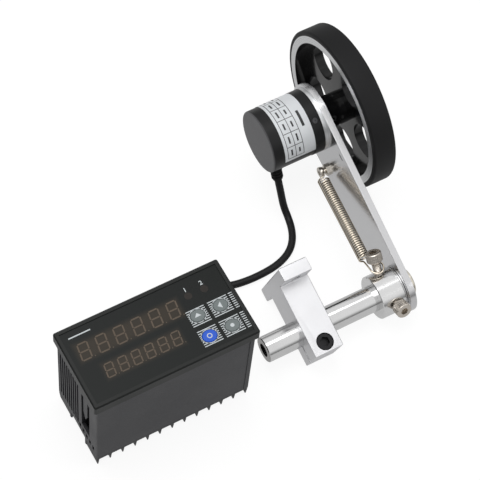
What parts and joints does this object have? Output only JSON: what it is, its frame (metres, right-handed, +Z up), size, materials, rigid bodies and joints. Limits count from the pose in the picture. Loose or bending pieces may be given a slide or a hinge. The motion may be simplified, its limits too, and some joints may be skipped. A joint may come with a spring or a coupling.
{
  "type": "cable length counter",
  "caption": "Panel meter with two digit rows and keys, wired to a spring-loaded measuring wheel on a swing arm, carried by a rod in a clamp block.",
  "frame": {"origin": "middle of the footprint box of everything but the lead, on the table", "axes": "+X from the meter along the rod to the wheel, parallel to the wheel's axis; +Y from the clamp to the wheel; +Z up out of the table"},
  "size_m": [0.2218, 0.1686, 0.0955],
  "materials": {
    "case_plastic": "fine satin black moulding",
    "bezel_plastic": "satin black moulding",
    "sheet_film": "smooth dark printed film",
    "smoked_pane": "smoked pane, lightly glossy",
    "display_body": "dark face with unlit brownish segments",
    "key_grey": "silver-grey printed key",
    "key_blue": "blue printed key",
    "switch_body": "black moulding",
    "lamp_lens": "unlit dark lens",
    "board_green": "green solder mask",
    "core_iron": "laminated",
    "winding_tape": "yellow tape over the winding",
    "component_black": "moulded component",
    "component_blue": "sleeved component",
    "terminal_plastic": "black moulding",
    "zinc_steel": "bright zinc plate",
    "housing_black": "satin black",
    "label_silver": "silver-white printed label",
    "steel_black": "black oxide",
    "turned_aluminium": "turned, bright",
    "bearing_steel": "ground",
    "disc_steel": "etched",
    "arm_aluminium": "satin anodised",
    "bush_bronze": "sintered bronze",
    "nickel_steel": "nickel plate, warm",
    "rod_steel": "ground and plated",
    "collar_steel": "turned and plated",
    "clamp_aluminium": "fine bright milled",
    "rim_black": "gloss black with a bare machined edge",
    "tyre_rubber": "smooth matte rubber",
    "lead_sheath": "smooth black sheath",
    "wire_sheath": "coloured core sheaths"
  },
  "bodies": {
    "meter": {"case_shell": "case_plastic", "front_bezel": "bezel_plastic", "front_sheet": "sheet_film", "display_filter": "smoked_pane", "display_upper": "display_body", "display_lower": "display_body", "key_switches": "switch_body", "alarm_lamps": "lamp_lens", "display_board": "board_green", "main_board": "board_green", "power_board": "board_green", "board_headers": "component_black", "transformer": "core_iron", "relays": "component_black", "capacitors": "component_blue", "control_chip": "component_black", "rear_plate": "case_plastic", "terminal_block_front": "terminal_plastic", "terminal_block_back": "terminal_plastic", "terminal_screws": "zinc_steel", "terminal_clamps": "zinc_steel", "support_rod": "rod_steel", "pivot_collar": "collar_steel", "spacer_washer": "zinc_steel", "outer_washer": "zinc_steel", "pivot_bolt": "zinc_steel", "anchor_screw": "zinc_steel", "lock_screw": "zinc_steel", "tension_spring": "nickel_steel", "lead": "lead_sheath", "lead_sleeve": "lead_sheath", "lead_wires": "wire_sheath"},
    "clamp": {"clamp_block": "clamp_aluminium", "clamp_screw": "steel_black"},
    "arm": {"swing_arm": "arm_aluminium", "flange_screws": "zinc_steel", "pivot_bush": "bush_bronze", "spring_post": "nickel_steel", "post_nut": "nickel_steel", "encoder_housing": "housing_black", "encoder_label": "label_silver", "encoder_grub_screws": "steel_black", "encoder_flange": "turned_aluminium", "bearing_outer_rings": "bearing_steel", "bearing_balls": "bearing_steel", "encoder_board": "board_green", "board_posts": "zinc_steel", "sensor_block": "component_black", "cable_gland": "lead_sheath"},
    "wheel": {"wheel_rim": "rim_black", "wheel_tyre": "tyre_rubber", "hub_screws": "steel_black", "encoder_shaft": "bearing_steel", "bearing_inner_rings": "bearing_steel", "code_disc": "disc_steel"},
    "up_key": {"key_up": "key_grey"},
    "left_key": {"key_left": "key_grey"},
    "set_key": {"key_set": "key_blue"},
    "enter_key": {"key_enter": "key_grey"}
  },
  "joints": [
    {"name": "arm_swing", "type": "hinge", "parent": "meter", "child": "arm", "pos_m": [0, -0.06466, 0.01611], "axis": [1, 0, 0], "range_deg": [-12, 40], "stiffness_Nm_per_rad": 0.24, "deforming": ["tension_spring", "lead"]},
    {"name": "wheel_spin", "type": "hinge", "parent": "arm", "child": "wheel", "pos_m": [0, 0.03651, 0.04775], "axis": [1, 0, 0], "continuous": true},
    {"name": "clamp_slide", "type": "slide", "parent": "meter", "child": "clamp", "axis": [1, 0, 0], "range_m": [-0.02, 0.03]},
    {"name": "up_press", "type": "slide", "parent": "meter", "child": "up_key", "axis": [0, 0, -1], "range_m": [0, 0.0005], "stiffness_N_per_m": 1500},
    {"name": "left_press", "type": "slide", "parent": "meter", "child": "left_key", "axis": [0, 0, -1], "range_m": [0, 0.0005], "stiffness_N_per_m": 1500},
    {"name": "set_press", "type": "slide", "parent": "meter", "child": "set_key", "axis": [0, 0, -1], "range_m": [0, 0.0005], "stiffness_N_per_m": 1500},
    {"name": "enter_press", "type": "slide", "parent": "meter", "child": "enter_key", "axis": [0, 0, -1], "range_m": [0, 0.0005], "stiffness_N_per_m": 1500}
  ]
}
